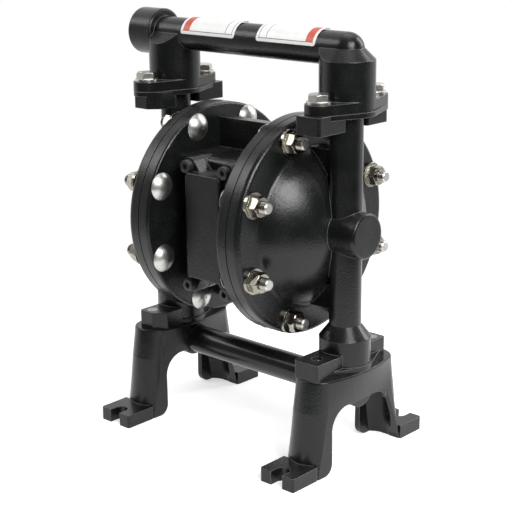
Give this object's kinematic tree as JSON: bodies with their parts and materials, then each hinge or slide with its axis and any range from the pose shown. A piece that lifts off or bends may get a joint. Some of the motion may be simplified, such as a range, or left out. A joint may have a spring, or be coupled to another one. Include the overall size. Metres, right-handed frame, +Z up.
{
  "type": "air operated diaphragm pump",
  "caption": "Air operated diaphragm pump with domed fluid caps on a centre body, a handle-shaped outlet manifold on top and slotted feet joined by an inlet tube.",
  "frame": {"origin": "on the floor, midway between the four foot pads, under the centre of the pump", "axes": "+Z up; X runs along the diaphragm axis, the outlet port's collar points to -X; the air valve faces -Y"},
  "size_m": [0.2167, 0.155, 0.3055],
  "materials": {
    "black_coat": "satin black powder coat on cast aluminium",
    "stainless": "polished stainless steel",
    "black_steel": "blackened steel",
    "rubber": "black rubber",
    "white_plastic": "white fluoroplastic",
    "bronze": "sintered bronze"
  },
  "bodies": {
    "pump": {"outlet_manifold": "black_coat", "left_fluid_cap": "black_coat", "right_fluid_cap": "black_coat", "center_body": "black_coat", "left_air_chamber": "black_coat", "right_air_chamber": "black_coat", "left_foot": "black_coat", "right_foot": "black_coat", "inlet_tube": "black_coat", "air_valve_block": "black_coat", "left_flange_bolts": "stainless", "right_flange_bolts": "stainless", "left_flange_nuts": "stainless", "right_flange_nuts": "stainless", "outlet_manifold_screws": "stainless", "outlet_manifold_washers": "stainless", "foot_screws": "stainless", "valve_end_plugs": "black_steel", "valve_screws": "black_steel", "left_diaphragm_rim": "rubber", "right_diaphragm_rim": "rubber", "valve_gasket": "rubber", "inlet_o_rings": "rubber", "outlet_o_rings": "rubber", "inlet_ball_seats": "white_plastic", "outlet_ball_seats": "white_plastic", "shaft_bushes": "bronze", "exhaust_muffler": "bronze"},
    "diaphragm_shaft": {"diaphragm_rod": "stainless", "left_diaphragm_disc": "rubber", "left_inner_plate": "stainless", "left_outer_plate": "stainless", "left_rod_end_screw": "stainless", "right_diaphragm_disc": "rubber", "right_inner_plate": "stainless", "right_outer_plate": "stainless", "right_rod_end_screw": "stainless"},
    "pilot": {"pilot_rod": "stainless"},
    "spool": {"valve_spool": "stainless"},
    "left_inlet_ball_body": {"left_inlet_ball": "white_plastic"},
    "right_inlet_ball_body": {"right_inlet_ball": "white_plastic"},
    "left_outlet_ball_body": {"left_outlet_ball": "white_plastic"},
    "right_outlet_ball_body": {"right_outlet_ball": "white_plastic"}
  },
  "joints": [
    {"name": "shaft_stroke", "type": "slide", "parent": "pump", "child": "diaphragm_shaft", "axis": [1, 0, 0], "range_m": [-0.005, 0.005]},
    {"name": "pilot_stroke", "type": "slide", "parent": "pump", "child": "pilot", "axis": [1, 0, 0], "range_m": [-0.0025, 0.0025]},
    {"name": "spool_shift", "type": "slide", "parent": "pump", "child": "spool", "axis": [0, 0, 1], "range_m": [0, 0.005]},
    {"name": "left_inlet_ball_lift", "type": "slide", "parent": "pump", "child": "left_inlet_ball_body", "axis": [0, 0, 1], "range_m": [0, 0.006]},
    {"name": "right_inlet_ball_lift", "type": "slide", "parent": "pump", "child": "right_inlet_ball_body", "axis": [0, 0, 1], "range_m": [0, 0.006]},
    {"name": "left_outlet_ball_lift", "type": "slide", "parent": "pump", "child": "left_outlet_ball_body", "axis": [0, 0, 1], "range_m": [0, 0.006]},
    {"name": "right_outlet_ball_lift", "type": "slide", "parent": "pump", "child": "right_outlet_ball_body", "axis": [0, 0, 1], "range_m": [0, 0.006]}
  ],
  "couplings": [
    {"joint": "pilot_stroke", "follows": "shaft_stroke", "ratio": 0.5}
  ]
}
